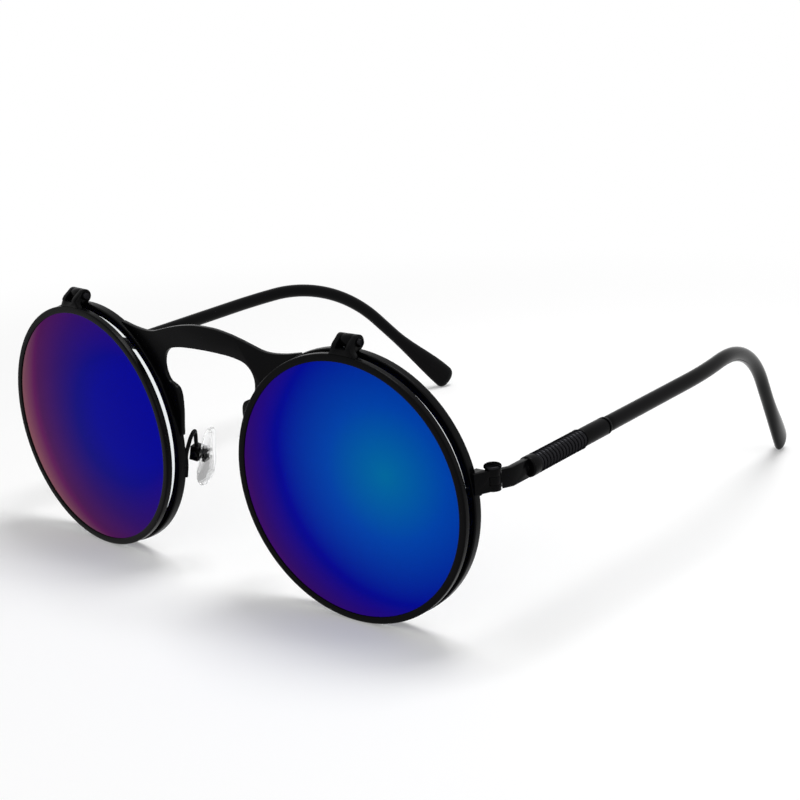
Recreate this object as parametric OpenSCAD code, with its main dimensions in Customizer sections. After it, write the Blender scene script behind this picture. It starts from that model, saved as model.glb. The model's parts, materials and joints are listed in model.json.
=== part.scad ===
/* [Lenses] */
// Diameter of each round lens
lens_d = 50; // [49:0.5:51]
// Gap between the two lenses across the nose
nose_gap = 22.2; // [21.8:0.1:22.6]
// Thickness of a lens
lens_t = 1; // [0.8:0.1:1.2]
// Radius that the face of a lens is curved to
lens_curve = 200; // [150:10:400]
// Angle that each lens turns back towards the temple
wrap = 4; // [3:0.5:5]

/* [Rims] */
// Width of the fixed rim outside its lens
base_rim_wall = 1.1; // [1:0.1:1.3]
// Depth of the fixed rim, front to back
base_rim_depth = 1.9; // [1.8:0.1:2.1]
// Width of the flip up rim outside its lens
flip_rim_wall = 0.9; // [0.8:0.1:1]
// Depth of the flip up rim, front to back
flip_rim_depth = 1.4; // [1.3:0.1:1.5]
// Distance from the front of the flip up rim to the front of the fixed rim
rim_step = 2.9; // [2.7:0.1:3.1]

/* [Bridge] */
// Thickness of the sheet that the bridge is cut from
bridge_t = 1; // [0.8:0.1:1.2]
// Angle that each arm of the bridge folds back
bridge_fold = 2.5; // [2:0.5:3]

/* [Temples] */
// Distance from the edge of the lens out to the straight part of a temple
temple_out = 3.7; // [3.5:0.1:3.9]
// Length of the coil sleeve
coil_len = 14.5; // [12:0.5:16]
// Outer diameter of the coil sleeve
coil_d = 3.9; // [3.6:0.1:4]
// Diameter of the coil's wire
coil_wire = 0.52; // [0.45:0.01:0.55]
// Distance from the hinge to the start of the ear bend
ear_start = 76; // [72:1:80]
// Radius of the ear bend
ear_bend_r = 42; // [38:1:46]
// Angle of the ear bend
ear_drop = 48; // [45:1:50]
// Angle that the object leans when it stands on its rims and tips
lean = 3; // [2.5:0.5:3.5]

/* [Hidden] */

// Finishes, as plain colours
black_metal = "#1b1c1f";
black_tip = "#0c0d10";
steel = "#6d7076";
mirror_blue = [0.07, 0.14, 0.75, 0.9];
clear = [0.9, 0.94, 0.96, 0.3];

// Lens seats
lens_r = lens_d / 2;
rim_in = lens_r - 0.5;
lens_x = (lens_d + nose_gap) / 2;
lens_edge = lens_x + lens_r;
base_rim_r = lens_r + base_rim_wall;
flip_rim_r = lens_r + flip_rim_wall;
rim_back = rim_step + base_rim_depth;
flip_seat = 0.2;
base_seat = 0.45;
edge_round = 0.3;
fit_gap = 0.05;
facets = 96;

// Flip hinge, in the frame of its lens
flip_axis = [1.3, rim_step, base_rim_r + 1.65];
knuckle_r = 1.4;
flip_pin_r = 0.5;
lug_half = 1.05;
ear_in = 1.15;
ear_out = 2.15;
foot_half = 3;
block_half = 2.9;

// Temple hinge
strap_t = 1.1;
strap_h = 3.9;
strap_z = 4.7;
arm_h = 3.5;
temple_t = 1.1;
hinge_at = [lens_edge + 1.9, 8.8];
barrel_r = 1.4;
barrel_bottom = 2.8;
barrel_top = 6.9;
screw_head_r = 1.6;
screw_head_h = 0.55;
tongue_low = 4.0;
tongue_high = 5.5;
hinge_screw_r = 0.6;
// Block behind the rim where its ring closes, split at one height
lock_x = [lens_r - 0.6, lens_r + 0.95];
lock_back = 6.3;
lock_low = 2.2;
lock_split = 4.25;
lock_high = 6.4;
lock_gap = 0.1;
lock_screw_at = [lens_r + 0.15, 5.55];
lock_screw_r = 0.4;

// Stations along a temple, measured back from the lens plane
temple_x = lens_edge + temple_out;
collar_at = 16.2;
collar_len = 2.2;
collar_r = 1.95;
coil_at = collar_at + collar_len;
ferrule_at = coil_at + coil_len;
ferrule_len = 8.4;
ferrule_r = 1.75;
tip_at = ferrule_at + ferrule_len;
core_r = 0.8;

// Nose pads
pad_at = [nose_gap / 2 - 1.9, 8, -3.8];
pad_splay = 20;
pad_flare = 12;
pad_pivot = 2.3;
pad_screw_r = 0.35;

// Small vector helpers
function unit(v) = v / norm(v);
function flat(lists) = [for (l = lists) each l];
function arc(c, r, a0, a1, n) =
  [for (i = [0:n]) c + r * [cos(a0 + (a1 - a0) * i / n), sin(a0 + (a1 - a0) * i / n)]];

// A point on a smooth curve through hand placed points
function pick(p, i) = p[max(0, min(len(p) - 1, i))];
function blend4(a, b, c, d, t) =
  0.5 * (2 * b + (c - a) * t + (2 * a - 5 * b + 4 * c - d) * t * t + (3 * b - a - 3 * c + d) * t * t * t);
function smooth(p, n) = concat(
  [for (i = [0:len(p) - 2], k = [0:n - 1])
    blend4(pick(p, i - 1), p[i], p[i + 1], pick(p, i + 2), k / n)],
  [p[len(p) - 1]]);

// Directions along a path and across it
function along(p, i) = unit(pick(p, i + 1) - pick(p, i - 1));
function across(t, up) = unit(cross(t, up));
function oval(c, a, b, ra, rb, n) =
  [for (k = [0:n - 1]) c + a * ra * cos(360 * k / n) + b * rb * sin(360 * k / n)];

// A closed skin of triangles over rings of points, both ends capped
module loft(rings) {
  n = len(rings[0]);
  m = len(rings);
  last = n * m;
  middle = function (r) [for (k = [0:2]) [for (p = r) p[k]] * [for (p = r) 1 / n]];
  pts = concat(flat(rings), [middle(rings[0]), middle(rings[m - 1])]);
  sides = [for (i = [0:m - 2], j = [0:n - 1])
    let (a = i * n + j, b = i * n + (j + 1) % n)
      each [[a, a + n, b + n], [a, b + n, b]]];
  caps = [for (j = [0:n - 1])
    each [[last, j, (j + 1) % n], [last + 1, last - n + (j + 1) % n, last - n + j]]];
  polyhedron(pts, concat(sides, caps), convexity = 10);
}

// A round wire along a path
module wire(path, r, n) {
  rings = [for (i = [0:len(path) - 1])
    let (t = along(path, i), a = across(t, [0.2, 0.1, 1])) oval(path[i], a, cross(t, a), r, r, n)];
  loft(rings);
}

// The right half is the left half mirrored
module sided(side) {
  if (side > 0) children();
  else mirror([1, 0, 0]) children();
}

// From the middle of the face to the middle of the left lens
module at_lens() {
  translate([lens_x, 0, 0]) rotate([0, 0, wrap]) children();
}

// Turns a section drawn as radius and depth about the lens axis
module about_lens() {
  rotate([-90, 0, 0]) rotate_extrude($fn = facets) children();
}

// A disc on the lens axis up to a depth, for cutting round the rims
module lens_plug(r, back = 40) {
  translate([0, -20, 0]) rotate([-90, 0, 0]) cylinder(r = r, h = back + 20, $fn = facets);
}

// Section of a rim with rounded outer corners and a groove for the lens edge
module rim_section(r_out, y0, depth, seat) {
  y1 = y0 + depth;
  e = edge_round;
  g0 = y0 + seat;
  g1 = g0 + lens_t;
  polygon(concat(
    [[rim_in, g0], [lens_r, g0], [lens_r, g1], [rim_in, g1]],
    arc([rim_in + e / 2, y1 - e / 2], e / 2, 180, 90, 2),
    arc([r_out - e, y1 - e], e, 90, 0, 4),
    arc([r_out - e, y0 + e], e, 0, -90, 4),
    arc([rim_in + e / 2, y0 + e / 2], e / 2, -90, -180, 2)));
}

// How far the curved face stands proud at a radius
function crown(r) = sqrt(lens_curve * lens_curve - r * r) - sqrt(lens_curve * lens_curve - rim_in * rim_in);

// Section of a curved lens with a flat edge that fills the groove
module lens_section(y0) {
  steps = 7;
  front = [for (i = [0:steps]) let (r = rim_in * i / steps) [r, y0 - crown(r)]];
  back = [for (i = [steps:-1:0]) let (r = rim_in * i / steps) [r, y0 + lens_t - crown(r)]];
  polygon(concat(front, [[lens_r, y0], [lens_r, y0 + lens_t]], back));
}

// Fixed front

module base_rim() {
  color(black_metal) at_lens() difference() {
    about_lens() rim_section(base_rim_r, rim_step, base_rim_depth, base_seat);
    translate([rim_in - 2, rim_step - 1, lock_split - lock_gap / 2])
      cube([5, base_rim_depth + 2, lock_gap]);
  }
}

module rear_lens() {
  color(clear) at_lens() about_lens() lens_section(rim_step + base_seat);
}

// Left half of the bridge outline, from the top middle round to the underside middle
bridge_top = [[0, 25.8], [3, 25.7], [6.6, 25.2], [9.5, 24.55], [12.3, 23.75], [15, 23], [17.6, 22.8],
  [21, 23.1], [24.4, 23.75]];
bridge_leg = [[10.4, 2], [9.6, 2.1], [9.25, 4.5], [8.85, 7], [8.7, 9.5], [8.8, 11], [9.3, 12.1],
  [10.3, 12.7], [11.5, 13.2]];
bridge_arch = [[12.3, 14.4], [12.65, 15.8], [12.6, 17.2], [12.1, 18.5], [11.1, 19.6], [9.7, 20.3],
  [6.9, 20.8], [3, 21], [0, 21.05]];
fold_x = 8.5;
bridge_front = 2.1;

module bridge_outline() {
  under_rim = [[24.8, 23.5], [26, 20], [20, 2]];
  half = concat(smooth(bridge_top, 4), under_rim, smooth(concat(bridge_leg, bridge_arch), 3));
  polygon(concat(half, [for (i = [len(half) - 2:-1:1]) [-half[i].x, half[i].y]]));
}

// Plan of the sheet: flat in the middle, with an arm folded back on each side
module bridge_plan() {
  reach = 26;
  back = (reach - fold_x) * tan(bridge_fold);
  edge = bridge_t / cos(bridge_fold);
  inner_fold = fold_x - bridge_t * tan(bridge_fold / 2);
  right = [[fold_x, bridge_front], [reach, bridge_front + back],
    [reach, bridge_front + back + edge], [inner_fold, bridge_front + bridge_t]];
  polygon(concat(right, [for (i = [3:-1:0]) [-right[i].x, right[i].y]]));
}

module bridge() {
  color(black_metal) difference() {
    intersection() {
      linear_extrude(40) bridge_plan();
      translate([0, 20, 0]) rotate([90, 0, 0]) linear_extrude(40) bridge_outline();
    }
    for (side = [1, -1]) sided(side) at_lens() lens_plug(base_rim_r);
  }
}

// Endpiece: a strap from the rim that flares out to the temple hinge
strap_start = [lens_edge + 0.45, rim_back - 0.1];
strap_knee = strap_start + [0.55, 0];
strap_end = [lens_edge + 3.15, 9.25];

module endpiece_plan() {
  inner = [for (p = [[1.65, 8.2], [0.65, 6.65], [0.2, 6.65]]) p + [lens_edge, 0]];
  polygon(concat([strap_start, strap_knee, strap_end, strap_end - [strap_t, -0.05]], inner));
}

module hinge_barrel(low, high, r) {
  translate([hinge_at.x, hinge_at.y, low]) cylinder(r = r, h = high - low, $fn = 48);
}

module lock_hole() {
  translate([lock_screw_at.x, lock_screw_at.y, 0]) cylinder(r = lock_screw_r, h = 6, $fn = 32);
}

// Half of the closing block, against the back of the rim
module lock_half(x1, low, high, back = lock_back) {
  translate([lock_x[0], rim_back, low]) cube([x1 - lock_x[0], back - rim_back, high - low]);
}

module endpiece() {
  color(black_metal) difference() {
    union() {
      translate([0, 0, barrel_bottom]) linear_extrude(strap_h) endpiece_plan();
      hinge_barrel(barrel_bottom, barrel_top, barrel_r);
      at_lens() lock_half(lock_x[1] + 0.9, lock_split + lock_gap / 2, lock_high);
    }
    at_lens() lens_plug(base_rim_r, rim_back);
    at_lens() lock_hole();
    // Room for the lower half of the block
    at_lens() lock_half(lock_x[1] + fit_gap, 0, lock_split + lock_gap / 2, lock_back + fit_gap);
    hinge_barrel(tongue_low - fit_gap, tongue_high + fit_gap, barrel_r + 0.15);
    hinge_barrel(0, 20, hinge_screw_r);
    translate([hinge_at.x - 3, strap_end.y + 0.02, 0]) cube([6, 6, 10]);
  }
}

module rim_lock() {
  color(black_metal) at_lens() difference() {
    lock_half(lock_x[1], lock_low, lock_split - lock_gap / 2);
    lock_hole();
  }
}

module rim_lock_screw() {
  color(steel) at_lens() translate([lock_screw_at.x, lock_screw_at.y, 0]) {
    translate([0, 0, lock_low]) cylinder(r = lock_screw_r, h = 6 - lock_low, $fn = 32);
    translate([0, 0, lock_low - 0.4]) cylinder(r1 = 0.55, r2 = 0.65, h = 0.4, $fn = 32);
  }
}

module hinge_screw() {
  top = barrel_top + screw_head_h;
  color(steel) {
    hinge_barrel(barrel_bottom, barrel_top, hinge_screw_r);
    difference() {
      translate([hinge_at.x, hinge_at.y, barrel_top]) rotate_extrude($fn = 48)
        polygon(concat([[0, 0]], arc([screw_head_r - 0.1, 0.1], 0.1, -90, 0, 2),
          arc([screw_head_r - 0.3, screw_head_h - 0.3], 0.3, 0, 90, 3), [[0, screw_head_h]]));
      translate([hinge_at.x - 2, hinge_at.y - 0.15, top - 0.25]) cube([4, 0.3, 1]);
    }
  }
}

// Nose pads

module at_pad() {
  translate(pad_at) rotate([0, 0, -pad_splay]) rotate([0, -pad_flare, 0]) children();
}

// Route of a pad arm, from the lens edge: brazed foot, loop and drop into the pad box
pad_arm_route = [for (p = [[-0.2, 3.1, -7.2], [-0.7, 3.15, -4.8], [-0.95, 3.2, -2.4], [-1.2, 3.9, -0.4],
  [-1.25, 5, 1.3], [-0.9, 6.1, 1.7], [-0.35, 6.75, 0.8], [-0.05, 6.95, -0.6], [0.05, 7, -2.2]])
    p + [nose_gap / 2, 0, 0]];

module nose_pad_arm() {
  color(black_metal) {
    wire(smooth(pad_arm_route, 3), 0.42, 8);
    at_pad() difference() {
      translate([1.5, -1.3, -1.5]) cube([1.9, 2.6, 3]);
      translate([1.3, -0.95, -1.15]) cube([1.75, 1.9, 2.3]);
      translate([pad_pivot, -3, 0]) rotate([-90, 0, 0]) cylinder(r = pad_screw_r, h = 6, $fn = 24);
    }
  }
}

module nose_pad_screw() {
  color(steel) at_pad() translate([pad_pivot, -1.3, 0]) rotate([-90, 0, 0]) {
    cylinder(r = pad_screw_r, h = 2.6, $fn = 24);
    translate([0, 0, -0.35]) cylinder(r = 0.6, h = 0.35, $fn = 24);
  }
}

module nose_pad() {
  color(clear) at_pad() difference() {
    scale([0.34, 1, 1]) hull() {
      translate([0, 0, 3.4]) sphere(r = 2.7, $fn = 28);
      translate([0, 0, -3]) sphere(r = 3.7, $fn = 28);
    }
    translate([0.7, -10, -10]) cube([10, 20, 20]);
  }
}

module nose_pad_insert() {
  color(steel) at_pad() difference() {
    union() {
      translate([0.2, -1.5, -2.1]) cube([0.5, 3, 4.2]);
      translate([0.6, -0.85, -0.75]) cube([2.2, 1.7, 1.5]);
    }
    translate([pad_pivot, -3, 0]) rotate([-90, 0, 0]) cylinder(r = pad_screw_r + fit_gap, h = 6, $fn = 24);
  }
}

// Flip up lenses

module flip_rim() {
  color(black_metal) at_lens() about_lens() rim_section(flip_rim_r, 0, flip_rim_depth, flip_seat);
}

module flip_lens() {
  color(mirror_blue) at_lens() about_lens() lens_section(flip_seat);
}

module at_flip_hinge() {
  at_lens() translate(flip_axis) children();
}

// Extrudes a section drawn as depth and height along the hinge pin
module along_pin(u0, u1) {
  translate([u0, 0, 0]) rotate([90, 0, 90]) linear_extrude(u1 - u0) children();
}

module pin_hole(r) {
  translate([-5, 0, 0]) rotate([0, 90, 0]) cylinder(r = r, h = 10, $fn = 32);
}

// Side view of an ear of the flip bracket
module bracket_ear_section() {
  circle(r = knuckle_r, $fn = 48);
  polygon([[-2.8, -1.9], [-2.8, -0.5], [-2.3, 0.1], [-0.99, 0.99], [0, 0], [-0.3, -1.35],
    [-1.55, -1.35], [-1.55, -1.9]]);
}

module flip_bracket() {
  color(black_metal) difference() {
    at_flip_hinge() difference() {
      union() {
        for (u = [-ear_out, ear_in]) along_pin(u, u + ear_out - ear_in) bracket_ear_section();
        translate([0, -1.6, 0]) rotate([90, 0, 0]) linear_extrude(1.2)
          polygon([[-ear_out, -0.85], [ear_out, -0.85], [foot_half, -2.1], [foot_half, -3],
            [-foot_half, -3], [-foot_half, -2.1]]);
      }
      pin_hole(flip_pin_r + fit_gap);
    }
    at_lens() lens_plug(flip_rim_r);
  }
}

module flip_base_lug() {
  color(black_metal) difference() {
    at_flip_hinge() difference() {
      along_pin(-lug_half, lug_half) {
        circle(r = knuckle_r, $fn = 48);
        polygon([[0.05, -2.2], [1.85, -2.2], [1.85, -0.6], [1.26, 0.6], [0, 0], [0.05, -1.3]]);
      }
      along_pin(-block_half, block_half)
        polygon([[1.3, -2.2], [2, -2.2], [2, -1.2], [1.75, -0.95], [1.3, -0.95]]);
      pin_hole(flip_pin_r);
    }
    at_lens() lens_plug(base_rim_r);
  }
}

// The pin's head is at the same end of both hinges
module flip_hinge_pin(head) {
  color(steel) at_flip_hinge() rotate([0, 90 * head, 0]) {
    translate([0, 0, -ear_out]) cylinder(r = flip_pin_r, h = 2 * ear_out, $fn = 32);
    translate([0, 0, ear_out]) cylinder(r1 = 0.85, r2 = 0.7, h = 0.6, $fn = 32);
    translate([0, 0, -ear_out - 0.2]) cylinder(r = 0.65, h = 0.2, $fn = 32);
  }
}

// Temples

module temple_arm() {
  y0 = strap_end.y + 0.12;
  half = temple_t / 2;
  color(black_metal) difference() {
    union() {
      translate([0, 0, strap_z - arm_h / 2]) linear_extrude(arm_h) polygon([
        [strap_end.x + 0.05, y0], [temple_x + half, 11.4], [temple_x + half, collar_at],
        [temple_x - half, collar_at], [temple_x - half, 11.6], [strap_end.x - strap_t, y0]]);
      hinge_barrel(tongue_low, tongue_high, barrel_r);
      translate([0, 0, tongue_low]) linear_extrude(tongue_high - tongue_low)
        polygon([hinge_at, hinge_at + [barrel_r, 0], strap_end + [0, 0.3], strap_end + [-0.6, 0.8],
          hinge_at + [0, 1]]);
      translate([temple_x, collar_at - 0.5, strap_z]) rotate([-90, 0, 0])
        cylinder(r = core_r, h = tip_at + 20 - collar_at, $fn = 24);
    }
    hinge_barrel(0, tongue_low, barrel_r + 0.12);
    hinge_barrel(tongue_high, 20, barrel_r + 0.12);
    hinge_barrel(0, 20, hinge_screw_r + fit_gap);
  }
}

// A sleeve round the temple's core, with rounded ends
module sleeve(y0, len, r, bore, e) {
  translate([temple_x, y0, strap_z]) rotate([-90, 0, 0]) rotate_extrude($fn = 48)
    polygon(concat([[bore, 0]], arc([r - e, e], e, -90, 0, 3), arc([r - e, len - e], e, 0, 90, 3),
      [[bore, len]]));
}

module temple_collar() {
  color(black_metal) sleeve(collar_at, collar_len, collar_r, core_r, 0.35);
}

module temple_ferrule() {
  color(black_metal) difference() {
    sleeve(ferrule_at, ferrule_len, ferrule_r, core_r, 0.25);
    translate([temple_x, tip_at - 1.1, strap_z]) rotate([-90, 0, 0]) difference() {
      cylinder(r = 3, h = 0.5, $fn = 48);
      translate([0, 0, -1]) cylinder(r = ferrule_r - 0.2, h = 3, $fn = 48);
    }
  }
}

// Coil sleeve: an even helix whose ends turn to meet the collar and the ferrule square on
coil_r = (coil_d - coil_wire) / 2;
coil_turn_in = 0.6;
coil_run = coil_turn_in + coil_wire;
coil_pitch = 0.96;
coil_turns = (coil_len - 2 * coil_run) / coil_pitch;
coil_lead = atan(coil_pitch / (2 * PI * coil_r));
coil_steps = round(8 * coil_turns);
function on_coil(c, y) =
  let (a = c * 180 / (PI * coil_r)) [temple_x + coil_r * cos(a), y, strap_z + coil_r * sin(a)];
coil_c = coil_turns * 2 * PI * coil_r;
coil_y0 = coil_at + coil_run;
coil_y1 = coil_y0 + coil_turns * coil_pitch;
// Quarter turns from the lead angle to straight back, then one wire diameter straight
coil_bend = [for (i = [1:4]) let (a = coil_lead + (90 - coil_lead) * i / 4)
  coil_turn_in * [sin(a) - sin(coil_lead), cos(coil_lead) - cos(a)]];
coil_path = concat(
  [on_coil(-coil_bend[3][0], coil_at)],
  [for (i = [3:-1:0]) on_coil(-coil_bend[i][0], coil_y0 - coil_bend[i][1])],
  [for (i = [0:coil_steps]) let (k = i / coil_steps) on_coil(coil_c * k, coil_y0 + (coil_y1 - coil_y0) * k)],
  [for (i = [0:3]) on_coil(coil_c + coil_bend[i][0], coil_y1 + coil_bend[i][1])],
  [on_coil(coil_c + coil_bend[3][0], ferrule_at)]);
function coil_ring(i) =
  let (p = coil_path[i], t = along(coil_path, i))
  let (b = across(t, [p.x - temple_x, 0, p.z - strap_z]))
    oval(p, cross(b, t), b, coil_wire / 2, coil_wire / 2, 6);

module temple_coil() {
  color(black_metal) loft([for (i = [0:len(coil_path) - 1]) coil_ring(i)]);
}

// Least gap between neighbouring turns, measured on points half a turn or more apart
coil_gap = min([for (i = [0:len(coil_path) - 6], j = [i + 5:min(len(coil_path) - 1, i + 12)])
  norm(coil_path[i] - coil_path[j])]) - coil_wire;
echo(coil_gap = coil_gap);

// Centre line of a temple, by distance from the hinge
bend_len = ear_bend_r * ear_drop * PI / 180;
toe_start = 62;
toe_blend = 20;
toe_slope = 0.19;
function toe(s) = s < toe_start ? 0
  : s < toe_start + toe_blend ? toe_slope * (s - toe_start) * (s - toe_start) / (2 * toe_blend)
  : toe_slope * (s - toe_start - toe_blend / 2);
function ear_y(s) = s < ear_start ? s
  : s < ear_start + bend_len ? ear_start + ear_bend_r * sin((s - ear_start) * 180 / (PI * ear_bend_r))
  : ear_start + ear_bend_r * sin(ear_drop) + (s - ear_start - bend_len) * cos(ear_drop);
function ear_z(s) = s < ear_start ? 0
  : s < ear_start + bend_len ? -ear_bend_r * (1 - cos((s - ear_start) * 180 / (PI * ear_bend_r)))
  : -ear_bend_r * (1 - cos(ear_drop)) - (s - ear_start - bend_len) * sin(ear_drop);
function temple_point(s) = [temple_x - toe(s), hinge_at.y + ear_y(s), strap_z + ear_z(s)];

// Height over the table of a point of the upright frame
function standing(p) = p.y * sin(lean) + p.z * cos(lean);
rim_low = standing([0, rim_step * cos(wrap), -base_rim_r]);

// The tip ends where its rounded end touches the table
tip_front_h = 1.6;
tip_end_h = 3.1;
tip_end_r = 2.2;
tip_grow = 22;
// The swell lies mostly outside the bend, so the middle of the paddle is lifted
tip_lift = 0.45;
tip_low = (tip_end_h - tip_end_r - tip_lift * (tip_end_h - tip_front_h)) * cos(ear_drop - lean) + tip_end_r;
tip_after_bend = (standing(temple_point(ear_start + bend_len)) - tip_low - rim_low) / sin(ear_drop - lean);
tip_s0 = tip_at - hinge_at.y;
tip_s1 = ear_start + bend_len + tip_after_bend;
tip_t = 1.45;
tip_rings = 34;
tip_cap = 6;
function ramp(t) = t <= 0 ? 0 : t >= 1 ? 1 : t * t * (3 - 2 * t);
// A tip is slim, then swells into a flat paddle
function tip_swell(s) = ramp((s - tip_s1 + tip_grow) / tip_grow);
function tip_h(s) = tip_front_h + (tip_end_h - tip_front_h) * tip_swell(s);
function tip_frame(s) =
  let (t = unit(temple_point(s + 0.5) - temple_point(s - 0.5)), a = across(t, [0, 0, 1]))
    [t, a, cross(a, t)];
function tip_middle(s) = temple_point(s) + tip_frame(s)[2] * tip_lift * (tip_h(s) - tip_front_h);
function tip_ring(s, k) =
  let (f = tip_frame(s)) oval(tip_middle(s), f[1], -f[2], tip_t * k, tip_h(s) * k, 20);
tip_body = [for (i = [1:tip_rings]) tip_ring(tip_s0 + (tip_s1 - tip_s0) * i / tip_rings, 1)];
tip_last = tip_frame(tip_s1);
tip_round = [for (i = [1:tip_cap]) let (a = 88 * i / tip_cap)
  oval(tip_middle(tip_s1) + tip_last[0] * tip_end_r * sin(a), tip_last[1], -tip_last[2],
    tip_t * cos(a), tip_end_h - tip_end_r * (1 - cos(a)), 20)];
tip_skin = concat([tip_ring(tip_s0, 0.82), tip_ring(tip_s0 + 0.3, 1)], tip_body, tip_round);

module temple_tip() {
  color(black_tip) difference() {
    loft(tip_skin);
    translate([temple_x, tip_at - 1, strap_z]) rotate([-90, 0, 0]) cylinder(r = core_r, h = 21, $fn = 24);
  }
}

// The whole stands with its origin under the middle of its box, on the table
reach_back = max([for (r = tip_skin) for (p = r) p.y * cos(lean) - p.z * sin(lean)]);
reach_front = -flip_rim_r * sqrt(pow(sin(wrap) * cos(lean), 2) + pow(sin(lean), 2));

module stand() {
  translate([0, -(reach_front + reach_back) / 2, -rim_low]) rotate([lean, 0, 0]) children();
}

stand() sided(1) base_rim();  // base_rim_l
stand() sided(-1) base_rim();  // base_rim_r
stand() bridge();
stand() sided(1) rear_lens();  // rear_lens_l
stand() sided(-1) rear_lens();  // rear_lens_r
stand() sided(1) endpiece();  // endpiece_l
stand() sided(-1) endpiece();  // endpiece_r
stand() sided(1) rim_lock();  // rim_lock_l
stand() sided(-1) rim_lock();  // rim_lock_r
stand() sided(1) rim_lock_screw();  // rim_lock_screw_l
stand() sided(-1) rim_lock_screw();  // rim_lock_screw_r
stand() sided(1) nose_pad_arm();  // nose_pad_arm_l
stand() sided(-1) nose_pad_arm();  // nose_pad_arm_r
stand() sided(1) nose_pad_screw();  // nose_pad_screw_l
stand() sided(-1) nose_pad_screw();  // nose_pad_screw_r
stand() sided(1) nose_pad();  // nose_pad_l
stand() sided(-1) nose_pad();  // nose_pad_r
stand() sided(1) nose_pad_insert();  // nose_pad_insert_l
stand() sided(-1) nose_pad_insert();  // nose_pad_insert_r
stand() sided(1) flip_base_lug();  // flip_base_lug_l
stand() sided(-1) flip_base_lug();  // flip_base_lug_r
stand() sided(1) flip_hinge_pin(1);  // flip_hinge_pin_l
stand() sided(-1) flip_hinge_pin(-1);  // flip_hinge_pin_r
stand() sided(1) flip_rim();  // flip_rim_l
stand() sided(-1) flip_rim();  // flip_rim_r
stand() sided(1) flip_lens();  // flip_lens_l
stand() sided(-1) flip_lens();  // flip_lens_r
stand() sided(1) flip_bracket();  // flip_bracket_l
stand() sided(-1) flip_bracket();  // flip_bracket_r
stand() sided(1) hinge_screw();  // hinge_screw_l
stand() sided(-1) hinge_screw();  // hinge_screw_r
stand() sided(1) temple_arm();  // temple_arm_l
stand() sided(-1) temple_arm();  // temple_arm_r
stand() sided(1) temple_collar();  // temple_collar_l
stand() sided(-1) temple_collar();  // temple_collar_r
stand() sided(1) temple_coil();  // temple_coil_l
stand() sided(-1) temple_coil();  // temple_coil_r
stand() sided(1) temple_ferrule();  // temple_ferrule_l
stand() sided(-1) temple_ferrule();  // temple_ferrule_r
stand() sided(1) temple_tip();  // temple_tip_l
stand() sided(-1) temple_tip();  // temple_tip_r
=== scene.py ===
import json
import math

import bpy
from bpy.props import FloatProperty, FloatVectorProperty, IntProperty, PointerProperty
from mathutils import Matrix, Vector

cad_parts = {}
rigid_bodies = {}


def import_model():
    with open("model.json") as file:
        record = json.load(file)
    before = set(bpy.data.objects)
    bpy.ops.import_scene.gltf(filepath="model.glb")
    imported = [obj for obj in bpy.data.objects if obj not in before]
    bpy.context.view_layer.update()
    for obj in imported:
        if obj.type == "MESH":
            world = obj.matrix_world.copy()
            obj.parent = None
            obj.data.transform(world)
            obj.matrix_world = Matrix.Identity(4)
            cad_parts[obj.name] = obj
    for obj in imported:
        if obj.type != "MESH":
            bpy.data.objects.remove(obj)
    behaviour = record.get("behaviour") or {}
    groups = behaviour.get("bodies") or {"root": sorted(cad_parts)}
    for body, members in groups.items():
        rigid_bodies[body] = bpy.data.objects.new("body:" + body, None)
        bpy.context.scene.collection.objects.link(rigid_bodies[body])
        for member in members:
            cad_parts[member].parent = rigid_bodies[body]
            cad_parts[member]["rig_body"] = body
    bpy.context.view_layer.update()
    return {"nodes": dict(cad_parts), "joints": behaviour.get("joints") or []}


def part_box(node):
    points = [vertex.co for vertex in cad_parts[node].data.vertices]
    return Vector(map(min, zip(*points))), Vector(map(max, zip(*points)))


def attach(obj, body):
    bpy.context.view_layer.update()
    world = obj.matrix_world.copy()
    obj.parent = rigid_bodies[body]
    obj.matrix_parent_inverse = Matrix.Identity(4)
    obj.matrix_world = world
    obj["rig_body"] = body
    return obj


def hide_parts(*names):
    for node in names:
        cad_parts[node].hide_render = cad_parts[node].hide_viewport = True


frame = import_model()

bl_info = {
    "name": "Flip Up Sunglasses",
    "version": (1, 0, 0),
    "blender": (4, 5, 0),
    "location": "View3D > Sidebar > Eyewear",
    "description": "Dresses the packed frame of a pair of flip up sunglasses and sets its studio",
    "category": "Object",
}

MM = 0.001
# Depth of each lens's seat behind the front of its rim
FLIP_SEAT = 0.2 * MM
BASE_SEAT = 0.45 * MM
# Places on the upright frame in mm: the left nose pad, and the bends of the wire that carries it
PAD_AT = (9.2, 8, -3.8)
PAD_ARM = [(10.9, 3.1, -7.2), (10.4, 3.15, -4.8), (10.15, 3.2, -2.4), (9.9, 3.9, -0.4), (9.85, 5, 1.3),
           (10.2, 6.1, 1.7), (10.75, 6.75, 0.8), (11.05, 6.95, -0.6), (11.15, 7, -2.2)]
# How far a lens's edge keeps from the walls of its seat
LENS_EASE = 0.02 * MM
# How far the round end of each tip stops short of the floor, to keep inside the CAD tip's box
TIP_CLEAR = 0.06 * MM


# Colour, frame and mesh helpers

def linear(code):
    """Turns an sRGB hex colour into the linear colour that a shader takes."""
    parts = [int(code[i:i + 2], 16) / 255 for i in (1, 3, 5)]
    return [p / 12.92 if p <= 0.04045 else ((p + 0.055) / 1.055) ** 2.4 for p in parts] + [1.0]


def joint(name):
    """The record's entry for a joint."""
    return next(j for j in frame["joints"] if j["name"] == name)


def middle(node):
    """The middle of a CAD node's box, in metres."""
    low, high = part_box(node)
    return (low + high) / 2


# The upright frame of the face: origin between the lenses, leaning with the glasses
FOLD_AXIS = Vector(joint("temple_left_fold")["axis"])
LEAN = math.atan2(-FOLD_AXIS.y, FOLD_AXIS.z)


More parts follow.
